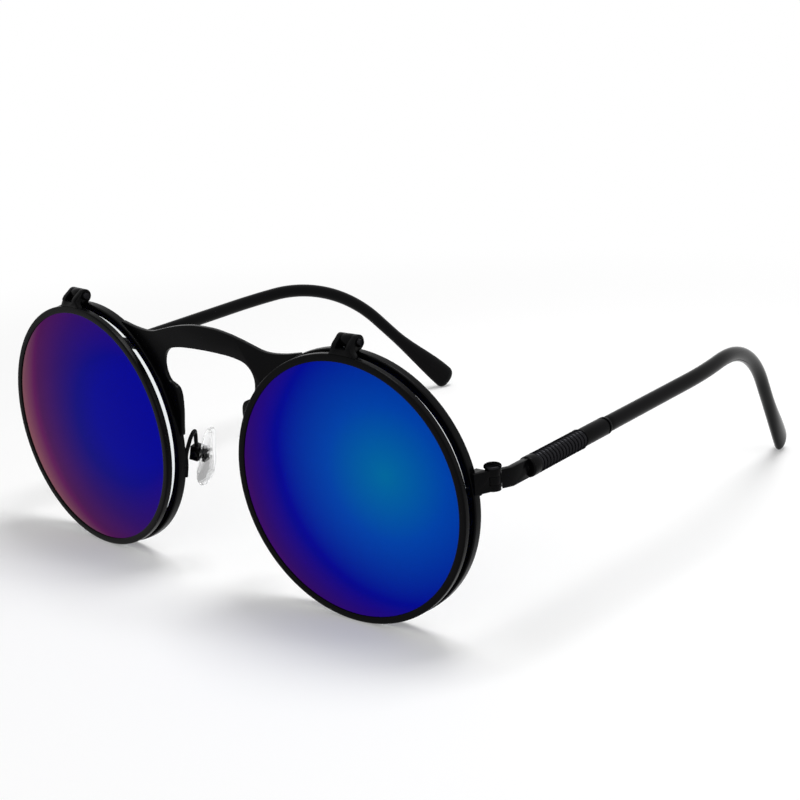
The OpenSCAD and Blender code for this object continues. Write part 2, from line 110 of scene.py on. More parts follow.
def stand(sizes):
    """The matrix that takes a place on the upright frame to the row frame, both in metres."""
    turn = Matrix.Rotation(LEAN, 4, "X")
    collar = Vector((sizes.temple_x, sizes.collar_at + sizes.collar_len / 2, sizes.strap_z))
    return Matrix.Translation(middle("temple_collar_l") - turn @ collar) @ turn


def pick(piece):
    """Leaves this piece as the only one selected, and active."""
    bpy.ops.object.select_all(action="DESELECT")
    piece.select_set(True)
    bpy.context.view_layer.objects.active = piece


def added(name):
    """Names the primitive that was just added."""
    piece = bpy.context.object
    piece.name = name
    piece.data.name = name
    return piece


def edit(piece):
    """Enters edit mode on a piece with everything selected."""
    pick(piece)
    bpy.ops.object.mode_set(mode="EDIT")
    bpy.ops.mesh.select_all(action="SELECT")


def done():
    bpy.ops.object.mode_set(mode="OBJECT")


def pick_faces(piece):
    """Enters edit mode with the faces that were marked in the mesh, and nothing else, selected."""
    pick(piece)
    bpy.ops.object.mode_set(mode="EDIT")
    bpy.ops.mesh.select_mode(type="FACE")


def applied(piece, kind, **settings):
    """Adds a modifier with its settings and applies it."""
    pick(piece)
    modifier = piece.modifiers.new(kind.title(), kind)
    for name, value in settings.items():
        setattr(modifier, name, value)
    bpy.ops.object.modifier_apply(modifier=modifier.name)


def place(piece, matrix):
    """Moves a piece by a matrix and writes its place into its mesh."""
    pick(piece)
    piece.matrix_world = matrix @ piece.matrix_world
    bpy.ops.object.transform_apply(location=True, rotation=True, scale=True)


def outward(piece):
    """Points a closed shell's faces outwards."""
    edit(piece)
    bpy.ops.mesh.remove_doubles(threshold=1e-6)
    bpy.ops.mesh.normals_make_consistent(inside=False)
    done()


def smooth(piece, angle=35):
    """Shades a piece smooth, with edges above an angle in degrees kept sharp."""
    pick(piece)
    bpy.ops.object.shade_smooth_by_angle(angle=math.radians(angle))


def opposite(piece, name):
    """The same piece for the other side of the face, with its own mesh."""
    twin = piece.copy()
    twin.data = piece.data.copy()
    twin.name = name
    twin.data.name = name
    bpy.context.collection.objects.link(twin)
    place(twin, Matrix.Scale(-1, 4, (1, 0, 0)))
    outward(twin)
    return twin


def merged_copy(node, name):
    """A welded copy of a CAD node's mesh, as a new piece."""
    source = frame["nodes"][node]
    piece = bpy.data.objects.new(name, source.data.copy())
    piece.data.name = name
    bpy.context.collection.objects.link(piece)
    edit(piece)
    bpy.ops.mesh.remove_doubles(threshold=2e-6)
    bpy.ops.mesh.dissolve_limited(angle_limit=math.radians(1))
    done()
    return piece


def arc(middle_of, radius, start, stop, steps):
    """Points of an arc in a flat section, angles in degrees."""
    turns = [math.radians(start + (stop - start) * i / steps) for i in range(steps + 1)]
    return [(middle_of[0] + radius * math.cos(a), middle_of[1] + radius * math.sin(a)) for a in turns]


def turned(name, section, steps=144, start=0.0, gap=0.0):
    """Spins a closed section, as radius and depth, about the Y axis, leaving a gap in radians open."""
    bpy.ops.mesh.primitive_plane_add(size=1, location=(0, 0, 0))
    piece = added(name)
    edit(piece)
    bpy.ops.mesh.merge(type="CENTER")
    bpy.ops.transform.translate(value=(section[0][0], section[0][1], 0))
    for (r, y), (was_r, was_y) in zip(section[1:] + section[:1], section):
        bpy.ops.mesh.extrude_region_move(TRANSFORM_OT_translate={"value": (r - was_r, y - was_y, 0)})
    bpy.ops.mesh.select_all(action="SELECT")
    bpy.ops.mesh.remove_doubles(threshold=1e-7)
    if gap:
        bpy.ops.mesh.edge_face_add()
    bpy.ops.mesh.spin(steps=steps, angle=math.tau - gap, center=(0, 0, 0), axis=(0, 1, 0))
    done()
    place(piece, Matrix.Rotation(start, 4, "Y"))
    outward(piece)
    return piece


def seat(piece, nodes, slot, material=None):
    """Gives a piece the material of its finish slot and its body, and hides the nodes that it stands for."""
    piece.data.materials.clear()
    piece.data.materials.append(material or MATERIALS[slot])
    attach(piece, frame["nodes"][nodes[0]]["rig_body"])
    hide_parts(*nodes)


def seat_pair(piece, stem, node, slot, angle=35):
    """Seats a left piece and its mirror image, each for its own side's node."""
    for half, side in ((piece, "l"), (opposite(piece, stem + "_r"), "r")):
        smooth(half, angle)
        film = MATERIALS["mirror_" + side] if slot == "mirror_lens" else None
        seat(half, [node + "_" + side], slot, film)


# Settings

def length(name, description, millimetres):
    """A size that the user may change."""
    return FloatProperty(name=name, description=description, default=millimetres * MM, unit="LENGTH")


def turn_angle(name, description, degrees):
    """An angle that the user may change."""
    return FloatProperty(name=name, description=description, default=math.radians(degrees),
                         subtype="ANGLE", unit="ROTATION")


class EyewearSizes(bpy.types.PropertyGroup):
    lens_x: length("Lens Offset", "From the middle of the face to the middle of a lens", 36.1)
    lens_r: length("Lens Radius", "Radius of a lens", 25)
    lens_t: length("Lens Thickness", "Thickness of a lens", 1)
    lens_curve: length("Lens Curve", "Radius that the face of a lens is curved to", 200)
    wrap: turn_angle("Wrap", "Angle that each lens turns back towards the temple", 4)
    lip: length("Rim Lip", "How far a rim covers the edge of its lens", 0.5)
    base_rim_r: length("Fixed Rim Radius", "Outer radius of the fixed rim", 26.1)
    base_rim_depth: length("Fixed Rim Depth", "Depth of the fixed rim, front to back", 1.9)
    flip_rim_r: length("Flip Rim Radius", "Outer radius of the flip up rim", 25.9)
    flip_rim_depth: length("Flip Rim Depth", "Depth of the flip up rim, front to back", 1.4)
    rim_step: length("Rim Step", "From the front of the flip up rim to the front of the fixed rim", 2.9)
    rim_split: length("Rim Split", "Height at which the fixed rim's ring is closed", 4.25)
    edge_round: length("Edge Rounding", "Rounding of the outer edges of a rim", 0.3)
    temple_x: length("Temple Offset", "From the middle of the face to a temple", 64.8)
    strap_z: length("Temple Height", "Height of a temple above the middle of the lenses", 4.7)
    core_r: length("Core Radius", "Radius of the steel core under the sleeves", 0.8)
    collar_at: length("Collar Start", "From the lens plane back to the collar", 16.2)
    collar_len: length("Collar Length", "Length of the collar in front of the coil", 2.2)
    collar_r: length("Collar Radius", "Outer radius of the collar", 1.95)
    coil_len: length("Coil Length", "Length of the coil sleeve", 14.5)
    coil_d: length("Coil Diameter", "Outer diameter of the coil sleeve", 3.9)
    coil_wire: length("Coil Wire", "Diameter of the wire that the sleeve is wound from", 0.95)
    coil_turns: IntProperty(
        name="Coil Turns", description="Turns of wire in a sleeve", default=14, min=8, max=40)
    ferrule_len: length("Ferrule Length", "Length of the ferrule behind the coil", 8.4)
    ferrule_r: length("Ferrule Radius", "Outer radius of the ferrule", 1.75)
    hinge_y: length("Hinge Depth", "From the lens plane back to the temple hinge", 8.8)
    ear_start: length("Ear Bend Start", "From the hinge back to the start of the ear bend", 76)
    ear_bend_r: length("Ear Bend Radius", "Radius of the ear bend", 42)
    ear_drop: turn_angle("Ear Drop", "Angle of the ear bend", 48)
    toe_start: length("Toe In Start", "From the hinge back to where the tips turn inwards", 62)
    toe_blend: length("Toe In Blend", "Length over which the tips turn inwards", 20)
    toe_slope: FloatProperty(
        name="Toe In Slope", description="How far a tip turns inwards over its length", default=0.19)
    tip_front_h: length("Tip Front Height", "Half height of a tip where it meets the ferrule", 1.6)
    tip_end_h: length("Tip End Height", "Half height of the paddle at the end of a tip", 3.1)
    tip_end_r: length("Tip End Radius", "Radius of the paddle's round end", 2.2)
    tip_grow: length("Paddle Length", "Length over which a tip widens into its paddle", 22)
    tip_lift: FloatProperty(
        name="Paddle Lift", description="Share of the paddle's growth that lies above the bend", default=0.45)
    tip_t: length("Tip Half Thickness", "Half thickness of a tip, side to side", 1.45)
    pad_splay: turn_angle("Pad Splay", "Angle that a nose pad opens towards the back", 20)
    pad_flare: turn_angle("Pad Flare", "Angle that a nose pad opens towards its foot", 12)


class EyewearColours(bpy.types.PropertyGroup):
    frame_black: FloatVectorProperty(
        name="Frame Lacquer", description="Lacquer of the metal front and temples",
        default=linear("#050506"), size=4, min=0, max=1, subtype="COLOR")
    coil_black: FloatVectorProperty(
        name="Coil Wire", description="Black nickel plate of the coil sleeves",
        default=linear("#222224"), size=4, min=0, max=1, subtype="COLOR")
    tip_black: FloatVectorProperty(
        name="Tip Acetate", description="Polished acetate of the temple tips",
        default=linear("#050506"), size=4, min=0, max=1, subtype="COLOR")
    steel: FloatVectorProperty(
        name="Screw Steel", description="Blackened steel of the screws and pins",
        default=linear("#1e1e20"), size=4, min=0, max=1, subtype="COLOR")
    silicone: FloatVectorProperty(
        name="Pad Silicone", description="Clear silicone of the nose pads",
        default=linear("#fbfcfd"), size=4, min=0, max=1, subtype="COLOR")
    floor: FloatVectorProperty(
        name="Floor", description="Paper under the object",
        default=linear("#fbfbfb"), size=4, min=0, max=1, subtype="COLOR")


# Node and material helpers

def node(tree, kind, settings=None, **links):
    """Adds a node, sets its sockets by name, and links the sockets that are given another node's output."""
    made = tree.nodes.new(kind)
    for name, value in (settings or {}).items():
        if name in made.inputs and not hasattr(made, name):
            made.inputs[name].default_value = value
        else:
            setattr(made, name, value)
    for name, output in links.items():
        tree.links.new(output, made.inputs[name.replace("_", " ")])
    return made


def blank(name):
    """A new material with an empty tree and its output node."""
    material = bpy.data.materials.new(name)
    material.use_nodes = True
    tree = material.node_tree
    tree.nodes.clear()
    return material, tree, tree.nodes.new("ShaderNodeOutputMaterial")


def math_node(tree, operation, *terms):
    """The result of a sum on outputs and plain numbers."""
    made = node(tree, "ShaderNodeMath", {"operation": operation})
    for socket, term in zip(made.inputs, terms):
        if isinstance(term, (int, float)):
            socket.default_value = term
        else:
            tree.links.new(term, socket)
    return made.outputs["Value"]


def spread(tree, source, low, high):
    """Maps a 0 to 1 pattern to the range from low to high."""
    ramp = node(tree, "ShaderNodeMapRange", {"To Min": low, "To Max": high}, Value=source)
    return ramp.outputs["Result"]


def surface(tree, output, settings, **links):
    """A Principled shader with its constant sockets set and its patterns linked."""
    shader = node(tree, "ShaderNodeBsdfPrincipled", settings, **links)
    tree.links.new(shader.outputs["BSDF"], output.inputs["Surface"])
    return shader


def grain(tree, size, detail=2.0):
    """Noise on the object's own coordinates with grains of a real size in metres."""
    place_of = node(tree, "ShaderNodeTexCoord")
    return node(tree, "ShaderNodeTexNoise", {"Scale": 1 / size, "Detail": detail},
                Vector=place_of.outputs["Object"]).outputs["Fac"]


def black_lacquer(colours):
    """Stove lacquer sprayed on stainless steel: deep black with a soft gloss and a faint orange peel."""
    material, tree, output = blank("black stove lacquer")
    peel = grain(tree, 0.9 * MM)
    bump = node(tree, "ShaderNodeBump", {"Strength": 0.1, "Distance": 0.02 * MM}, Height=peel)
    surface(tree, output, {"Base Color": colours.frame_black, "Specular IOR Level": 0.045},
            Roughness=spread(tree, grain(tree, 3 * MM), 0.2, 0.32), Normal=bump.outputs["Normal"])
    return material


def black_nickel(colours):
    """Black nickel plate on drawn wire: dark metal with a grey satin glint along each turn."""
    material, tree, output = blank("black nickel plated wire")
    surface(tree, output, {
        "Base Color": colours.coil_black, "Metallic": 1.0, "Specular Tint": colours.coil_black},
            Roughness=spread(tree, grain(tree, 0.4 * MM), 0.22, 0.36))
    return material


def polished_acetate(colours):
    """Tumbled cellulose acetate: deep black with a wet gloss and a slow waviness from polishing."""
    material, tree, output = blank("polished black acetate")
    wave = grain(tree, 7 * MM, 1.0)
    bump = node(tree, "ShaderNodeBump", {"Strength": 0.1, "Distance": 0.1 * MM}, Height=wave)
    surface(tree, output, {"Base Color": colours.tip_black, "IOR": 1.49, "Specular IOR Level": 0.05},
            Roughness=spread(tree, grain(tree, 2 * MM), 0.06, 0.14), Normal=bump.outputs["Normal"])
    return material


def screw_steel(colours):
    """Blackened screw steel, turned: a darker metal with fine tool marks in its roughness."""
    material, tree, output = blank("blackened screw steel")
    surface(tree, output, {"Base Color": colours.steel, "Metallic": 1.0, "Specular Tint": colours.steel},
            Roughness=spread(tree, grain(tree, 0.25 * MM), 0.25, 0.45))
    return material


def clear_silicone(colours):
    """Moulded clear silicone: index and opacity below the real ones, for pads that look near white."""
    material, tree, output = blank("moulded clear silicone")
    surface(tree, output, {
        "Base Color": colours.silicone, "IOR": 1.2, "Transmission Weight": 0.98, "Alpha": 0.6},
        Roughness=spread(tree, grain(tree, 1.5 * MM), 0.04, 0.14))
    return material


def clear_lens(colours):
    """Hard coated clear resin, polished: almost no colour, a thin white sheen at its edge."""
    material, tree, output = blank("hard coated clear resin")
    surface(tree, output, {"Base Color": linear("#f7fbfa"), "IOR": 1.5, "Transmission Weight": 1.0},
            Roughness=spread(tree, grain(tree, 12 * MM), 0.0, 0.02))
    return material


# One mirror film for both lenses, from its thinnest place to its thickest: how far along, its tint,
# and what the tint tends to where the film is seen at a flat angle
FILM = [(0.0, "#0070a8", "#24408a"),   # teal
        (0.5, "#0046b0", "#24408a"),   # royal blue
        (1.0, "#000c9c", "#24408a"),   # deep blue
        (1.35, "#300a70", "#b84cc4"),  # violet
        (1.55, "#502a58", "#b84cc4"),  # plum
        (1.8, "#98805c", "#b84cc4")]   # copper
# Where each lens has the middle of its rings, in lens radii from its own middle
FILM_CENTRES = {"r": (0.6, 0.2), "l": (0.4, 0.2)}
# How unevenly the rings run, in lens radii
FILM_DRIFT = 0.08
# From which distance to which other the film changes, and between which of its tints. The right lens's range
# runs on to violet and copper: a painted shift of the film's tint with the angle at which that lens is seen.
FILM_SPANS_WITH_PAINTED_VIEW_SHIFT = {"r": (0.4, 1.6, 1.0, 1.78), "l": (0.0, 1.4, 0.0, 1.4)}


def ramp_colour(tree, share, tints):
    """The colour at a share of the way along a list of distances and colours."""
    ramp = node(tree, "ShaderNodeValToRGB", Fac=share)
    stops = ramp.color_ramp.elements
    stops[0].color, stops[1].color = linear(tints[0][1]), linear(tints[-1][1])
    for at, code in tints[1:-1]:
        stops.new(at / tints[-1][0]).color = linear(code)
    return ramp.outputs["Color"]


def mirror_film(name, side, sizes):
    """Mirror film on polycarbonate: metal bright, its tint sliding to violet or copper in wide rings. The
    right lens's longer slide to violet and copper is a painted shift of the tint with the angle at which that
    lens is seen.
    """
    material, tree, output = blank(name)
    radius = sizes.lens_r
    aside, up = FILM_CENTRES[side]
    near, far, first, last = FILM_SPANS_WITH_PAINTED_VIEW_SHIFT[side]
    heart = middle("flip_lens_" + side) + Vector((aside * radius, 0, up * radius))
    here = node(tree, "ShaderNodeTexCoord")
    parts = node(tree, "ShaderNodeMapping", {
        "vector_type": "TEXTURE", "Location": heart, "Scale": (radius, radius * 100, radius)},
        Vector=here.outputs["Object"])
    reach = node(tree, "ShaderNodeVectorMath", {"operation": "LENGTH"}, Vector=parts.outputs["Vector"])
    drift = math_node(tree, "MULTIPLY_ADD", grain(tree, 26 * MM, 1.0), FILM_DRIFT, reach.outputs["Value"])
    along = node(tree, "ShaderNodeMapRange", {
        "From Min": near + FILM_DRIFT / 2, "From Max": far + FILM_DRIFT / 2,
        "To Min": first / FILM[-1][0], "To Max": last / FILM[-1][0]}, Value=drift).outputs["Result"]
    surface(tree, output, {
        "Metallic": 0.82, "Transmission Weight": 1.0, "Specular IOR Level": 0.05, "IOR": 1.5},
        Base_Color=ramp_colour(tree, along, [(at, tint) for at, tint, edge in FILM]),
        Specular_Tint=ramp_colour(tree, along, [(at, edge) for at, tint, edge in FILM]),
        Roughness=spread(tree, grain(tree, 15 * MM), 0.03, 0.07))
    return material


MATERIALS = {}


def make_materials(colours, sizes):
    """One material for each finish, kept by its slot's name."""
    MATERIALS.update(
        black_frame=black_lacquer(colours), black_coil=black_nickel(colours),
        black_tip=polished_acetate(colours), screw=screw_steel(colours), pad_insert=screw_steel(colours),
        clear_silicone=clear_silicone(colours), clear_lens=clear_lens(colours),
        mirror_l=mirror_film("blue mirror film, left", "l", sizes),
        mirror_r=mirror_film("blue mirror film, right", "r", sizes))


# Which finish each kind of CAD node has
FINISHES = {
    "black_frame": ["base_rim", "bridge", "endpiece", "rim_lock", "nose_pad_arm", "flip_base_lug", "flip_rim",
                    "flip_bracket", "temple_arm", "temple_collar", "temple_ferrule"],
    "black_coil": ["temple_coil"],
    "black_tip": ["temple_tip"],
    "screw": ["rim_lock_screw", "nose_pad_screw", "flip_hinge_pin", "hinge_screw"],
    "pad_insert": ["nose_pad_insert"],
    "clear_silicone": ["nose_pad"],
    "clear_lens": ["rear_lens"],
}


def finish_of(name):
    """The material of a CAD node, found from its name without its side."""
    kind = name[:-2] if name.endswith(("_l", "_r")) else name
    if kind == "flip_lens":
        return MATERIALS["mirror_" + name[-1]]
    return next(MATERIALS[slot] for slot, kinds in FINISHES.items() if kind in kinds)


class EYEWEAR_OT_finishes(bpy.types.Operator):
    """Gives every carried over part of the frame its material"""
    bl_idname = "eyewear.finishes"
    bl_label = "Finishes"

    def execute(self, context):
        make_materials(context.scene.eyewear_colours, context.scene.eyewear_sizes)
        for name, part in frame["nodes"].items():
            part.data.materials.clear()
            part.data.materials.append(finish_of(name))
        return {"FINISHED"}


def at_lens(sizes):
    """The matrix that takes a place on the left lens's own axes to the row frame."""
    return stand(sizes) @ Matrix.Translation((sizes.lens_x, 0, 0)) @ Matrix.Rotation(sizes.wrap, 4, "Z")


def rim_section(sizes, outer, front, depth, seat_depth):
    """Section of a rim: a groove for the lens's edge, a thin lip and rounded outer edges."""
    inner = sizes.lens_r - sizes.lip
    back = front + depth
    groove = front + seat_depth
    e = sizes.edge_round
    lip = e / 2
    return ([(inner, groove), (sizes.lens_r, groove), (sizes.lens_r, groove + sizes.lens_t),
             (inner, groove + sizes.lens_t)]
            + arc((inner + lip, back - lip), lip, 180, 90, 3) + arc((outer - e, back - e), e, 90, 0, 6)
            + arc((outer - e, front + e), e, 0, -90, 6) + arc((inner + lip, front + lip), lip, -90, -180, 3))


class EYEWEAR_OT_rims(bpy.types.Operator):
    """Turns the fixed and the flip up rims with rounded edges"""
    bl_idname = "eyewear.rims"
    bl_label = "Rims"

    def execute(self, context):
        sizes = context.scene.eyewear_sizes
        flip = turned("flip_ring_l", rim_section(sizes, sizes.flip_rim_r, 0, sizes.flip_rim_depth, FLIP_SEAT))
        place(flip, at_lens(sizes))
        seat_pair(flip, "flip_ring", "flip_rim", "black_frame")
        # The fixed rim is an open ring that its block closes beside the hinge
        split = -math.asin(sizes.rim_split / sizes.base_rim_r)
        base = turned("fixed_ring_l",
                      rim_section(sizes, sizes.base_rim_r, sizes.rim_step, sizes.base_rim_depth, BASE_SEAT),
                      start=split, gap=0.1 * MM / sizes.base_rim_r)
        place(base, at_lens(sizes))
        seat_pair(base, "fixed_ring", "base_rim", "black_frame")
        return {"FINISHED"}


class EYEWEAR_OT_lenses(bpy.types.Operator):
    """Turns the mirrored and the clear lenses with a true curve"""
    bl_idname = "eyewear.lenses"
    bl_label = "Lenses"

    def execute(self, context):
        sizes = context.scene.eyewear_sizes
        for stem, node_name, slot, front in (
                ("mirror_lens", "flip_lens", "mirror_lens", FLIP_SEAT),
                ("clear_lens", "rear_lens", "clear_lens", sizes.rim_step + BASE_SEAT)):
            lens = turned(stem + "_l", self.section(sizes, front))
            place(lens, at_lens(sizes))
            seat_pair(lens, stem, node_name, slot)
        return {"FINISHED"}

    def section(self, sizes, front):
        """Half section of a lens: two parallel curves out to the rim, then a flat edge."""
        inner = sizes.lens_r - sizes.lip
        flat = math.sqrt(sizes.lens_curve ** 2 - inner ** 2)
        steps = 24
        face = []
        for i in range(steps + 1):
            r = inner * i / steps
            face.append((r, front - math.sqrt(sizes.lens_curve ** 2 - r ** 2) + flat))
        rim_r = sizes.lens_r - LENS_EASE
        edge = [(rim_r, front + LENS_EASE), (rim_r, front + sizes.lens_t - LENS_EASE)]
        return face + edge + [(r, y + sizes.lens_t) for r, y in reversed(face)]


# Pieces cut or cast in metal: the new piece's name, the bevel on its edges in mm and its finish
HARDWARE = {
    "endpiece": ("endpiece_strap", 0.07, "black_frame"),
    "rim_lock": ("rim_block", 0.12, "black_frame"),
    "rim_lock_screw": ("rim_block_screw", 0.06, "screw"),
    "temple_arm": ("temple_bar", 0.07, "black_frame"),
    "flip_bracket": ("knuckle_bracket", 0.04, "black_frame"),
    "flip_base_lug": ("knuckle_base", 0.1, "black_frame"),
    "flip_hinge_pin": ("knuckle_pin", 0.04, "screw"),
    "hinge_screw": ("temple_screw", 0.06, "screw"),
    "nose_pad_screw": ("pad_screw", 0.06, "screw"),
}


class EYEWEAR_OT_hardware(bpy.types.Operator):
    """Breaks the sharp edges of the bridge, straps, knuckles, locks and screws"""
    bl_idname = "eyewear.hardware"
    bl_label = "Bridge And Hardware"

    def execute(self, context):
        self.soften("bridge", "bridge_sheet", 0.16, "black_frame")
        for kind, (stem, width, slot) in HARDWARE.items():
            for side in ("_l", "_r"):
                self.soften(kind + side, stem + side, width, slot)
        return {"FINISHED"}

    def soften(self, node_name, name, width, slot):
        piece = merged_copy(node_name, name)
        applied(piece, "BEVEL", width=width * MM, segments=2, limit_method="ANGLE",
                angle_limit=math.radians(40), use_clamp_overlap=True)
        smooth(piece)
        seat(piece, [node_name], slot)


class EYEWEAR_OT_sleeves(bpy.types.Operator):
    """Turns the collar in front of each coil and the grooved ferrule behind it"""
    bl_idname = "eyewear.sleeves"
    bl_label = "Collars And Ferrules"

    def execute(self, context):
        sizes = context.scene.eyewear_sizes
        bore = sizes.core_r
        collar = sizes.collar_len
        e = 0.35 * MM
        outer = sizes.collar_r
        front = [(bore, 0)] + arc((outer - e, e), e, -90, 0, 5)
        back = arc((outer - e, collar - e), e, 0, 90, 5) + [(bore, collar)]
        self.sleeve(sizes, "temple_collar", "collar_ring", sizes.collar_at, front + back)
        outer = sizes.ferrule_r
        end = sizes.ferrule_len
        e = 0.25 * MM
        front = [(bore, 0)] + arc((outer - e, e), e, -90, 0, 5)
        groove = [(outer, end - 1.15 * MM), (outer - 0.2 * MM, end - 1.1 * MM),
                  (outer - 0.2 * MM, end - 0.6 * MM), (outer, end - 0.55 * MM)]
        back = arc((outer - e, end - e), e, 0, 90, 5) + [(bore, end)]
        start = sizes.collar_at + sizes.collar_len + sizes.coil_len
        self.sleeve(sizes, "temple_ferrule", "ferrule_tube", start, front + groove + back)
        return {"FINISHED"}

    def sleeve(self, sizes, node_name, stem, start, section):
        piece = turned(stem + "_l", section, steps=64)
        place(piece, stand(sizes) @ Matrix.Translation((sizes.temple_x, start, sizes.strap_z)))
        seat_pair(piece, stem, node_name, "black_frame")


class EYEWEAR_OT_nose_pads(bpy.types.Operator):
    """Moulds the silicone nose pads and bends the wire arms that carry them"""
    bl_idname = "eyewear.nose_pads"
    bl_label = "Nose Pads"

    def execute(self, context):
        sizes = context.scene.eyewear_sizes
        at_pad = (stand(sizes) @ Matrix.Translation([v * MM for v in PAD_AT])
                  @ Matrix.Rotation(-sizes.pad_splay, 4, "Z") @ Matrix.Rotation(-sizes.pad_flare, 4, "Y"))
        place(self.pad(), at_pad)
        seat_pair(bpy.context.object, "silicone_pad", "nose_pad", "clear_silicone", 40)
        seat_pair(self.arm(sizes, at_pad), "pad_arm", "nose_pad_arm", "black_frame", 40)
        seat_pair(self.clip(at_pad), "pad_clip", "nose_pad_insert", "pad_insert", 40)
        return {"FINISHED"}

    def pad(self):
        """A flattened drop, wide at its foot, cut flat behind."""
        bpy.ops.mesh.primitive_uv_sphere_add(
            segments=48, ring_count=24, radius=2.7 * MM, location=(0, 0, 3.4 * MM))
        top = added("pad_top")
        bpy.ops.mesh.primitive_uv_sphere_add(
            segments=48, ring_count=24, radius=3.7 * MM, location=(0, 0, -3 * MM))
        pad = added("silicone_pad_l")
        top.select_set(True)
        bpy.ops.object.join()
        edit(pad)
        bpy.ops.mesh.convex_hull()
        bpy.ops.transform.resize(value=(0.34, 1, 1), center_override=(0, 0, 0))
        bpy.ops.mesh.select_all(action="SELECT")
        bpy.ops.mesh.bisect(plane_co=(0.68 * MM, 0, 0), plane_no=(1, 0, 0), use_fill=True, clear_outer=True)
        done()
        place(pad, Matrix.Identity(4))
        outward(pad)
        applied(pad, "BEVEL", width=0.22 * MM, segments=4, limit_method="ANGLE", angle_limit=math.radians(30))
        return pad

    def clip(self, at_pad):
        """The clip moulded into a pad: two bars across a stem, and two cheeks with the screw between them."""
        # Middle and size of each bar, stem and cheek in mm
        sizes_mm = (((0.45, 0, 0.8), (0.4, 2.6, 0.75)), ((0.45, 0, -0.8), (0.4, 2.6, 0.75)),
                    ((0.45, 0, 0), (0.3, 0.7, 2)),
                    ((1.65, 0, 0.58), (2.2, 1.6, 0.24)), ((1.65, 0, -0.58), (2.2, 1.6, 0.24)))
        bars = []
        for centre, size in sizes_mm:
            bpy.ops.mesh.primitive_cube_add(
                size=1, location=[v * MM for v in centre], scale=[v * MM for v in size])
            bars.append(added("pad_clip_l"))
            place(bars[-1], Matrix.Identity(4))
            applied(bars[-1], "BEVEL", width=0.08 * MM, segments=2)
        for bar in bars:
            bar.select_set(True)
        bpy.ops.object.join()
        clip = bpy.context.object
        place(clip, at_pad)
        return clip

    def arm(self, sizes, at_pad):
        """A wire loop from the rim to a small open box that holds the pad's lug."""
        bpy.ops.curve.primitive_bezier_curve_add(radius=1 * MM, location=(0, 0, 0))
        wire = added("pad_arm_l")
        route = wire.data.splines[0].bezier_points
        route.add(len(PAD_ARM) - len(route))
        for point, place_of in zip(route, PAD_ARM):
            point.co = [v * MM for v in place_of]
            point.handle_left_type = point.handle_right_type = "AUTO"
        wire.data.resolution_u = 8
        wire.data.bevel_depth = 0.42 * MM
        wire.data.bevel_resolution = 4
        wire.data.use_fill_caps = True
        bpy.ops.object.convert(target="MESH")
        place(wire, stand(sizes))
        bpy.ops.mesh.primitive_cube_add(
            size=1, location=(2.45 * MM, 0, 0), scale=(1.9 * MM, 2.6 * MM, 3 * MM))
        box = added("pad_box")
        place(box, Matrix.Identity(4))
        edit(box)
        bpy.ops.mesh.select_all(action="DESELECT")
        done()
        for face in box.data.polygons:
            face.select = face.normal.x < -0.9
        pick_faces(box)
        bpy.ops.mesh.inset(thickness=0.35 * MM)
        bpy.ops.mesh.extrude_region_move(TRANSFORM_OT_translate={"value": (1.55 * MM, 0, 0)})
        done()
        applied(box, "BEVEL", width=0.1 * MM, segments=2, limit_method="ANGLE", angle_limit=math.radians(40))
        place(box, at_pad)
        pick(wire)
        box.select_set(True)
        bpy.ops.object.join()
        return wire


class EYEWEAR_OT_coil_sleeves(bpy.types.Operator):
    """Winds the coil sleeve of each temple, turn on turn, and closes it with a ring at each end"""
    bl_idname = "eyewear.coil_sleeves"
    bl_label = "Coil Sleeves"

    def execute(self, context):
        sizes = context.scene.eyewear_sizes
        wire = sizes.coil_wire / 2
        pitch = (sizes.coil_len - sizes.coil_wire) / sizes.coil_turns
        bpy.ops.mesh.primitive_circle_add(
            vertices=10, radius=wire, location=(sizes.coil_d / 2 - wire, 0, 0), rotation=(math.pi / 2, 0, 0))
        coil = added("coil_sleeve_l")
        place(coil, Matrix.Identity(4))
        applied(coil, "SCREW", axis="Z", steps=28, render_steps=28, iterations=sizes.coil_turns,
                screw_offset=pitch)
        edit(coil)
        bpy.ops.mesh.select_all(action="DESELECT")
        bpy.ops.mesh.select_mode(type="EDGE")
        bpy.ops.mesh.select_non_manifold()
        bpy.ops.mesh.fill_holes(sides=0)
        done()
        start = Vector((sizes.temple_x, sizes.collar_at + sizes.collar_len + wire, sizes.strap_z))
        rings = []
        for level in (0, sizes.coil_turns * pitch):
            bpy.ops.mesh.primitive_torus_add(
                major_segments=56, minor_segments=10, major_radius=sizes.coil_d / 2 - wire,
                minor_radius=wire, location=(0, 0, level))
            rings.append(added("coil_sleeve_l"))
        pick(coil)
        for ring in rings:
            ring.select_set(True)
        bpy.ops.object.join()
        place(coil, stand(sizes) @ Matrix.Translation(start) @ Matrix.Rotation(-math.pi / 2, 4, "X"))
        outward(coil)
        seat_pair(coil, "coil_sleeve", "temple_coil", "black_coil", 60)
        return {"FINISHED"}


def ramp(t):
    """A smooth step from 0 to 1."""
    t = min(max(t, 0.0), 1.0)
    return t * t * (3 - 2 * t)


def temple_line(sizes, s):
    """A point of a temple's centre line on the upright frame, by distance from the hinge."""
    bend = sizes.ear_bend_r * sizes.ear_drop
    past = s - sizes.toe_start
    if past < 0:
        toe = 0
    elif past < sizes.toe_blend:
        toe = sizes.toe_slope * past * past / (2 * sizes.toe_blend)
    else:
        toe = sizes.toe_slope * (past - sizes.toe_blend / 2)
    turn = min(max((s - sizes.ear_start) / sizes.ear_bend_r, 0), sizes.ear_drop)
    rest = max(s - sizes.ear_start - bend, 0)
    back = min(s, sizes.ear_start) + sizes.ear_bend_r * math.sin(turn) + rest * math.cos(sizes.ear_drop)
    drop = sizes.ear_bend_r * (1 - math.cos(turn)) + rest * math.sin(sizes.ear_drop)
    return Vector((sizes.temple_x - toe, sizes.hinge_y + back, sizes.strap_z - drop))


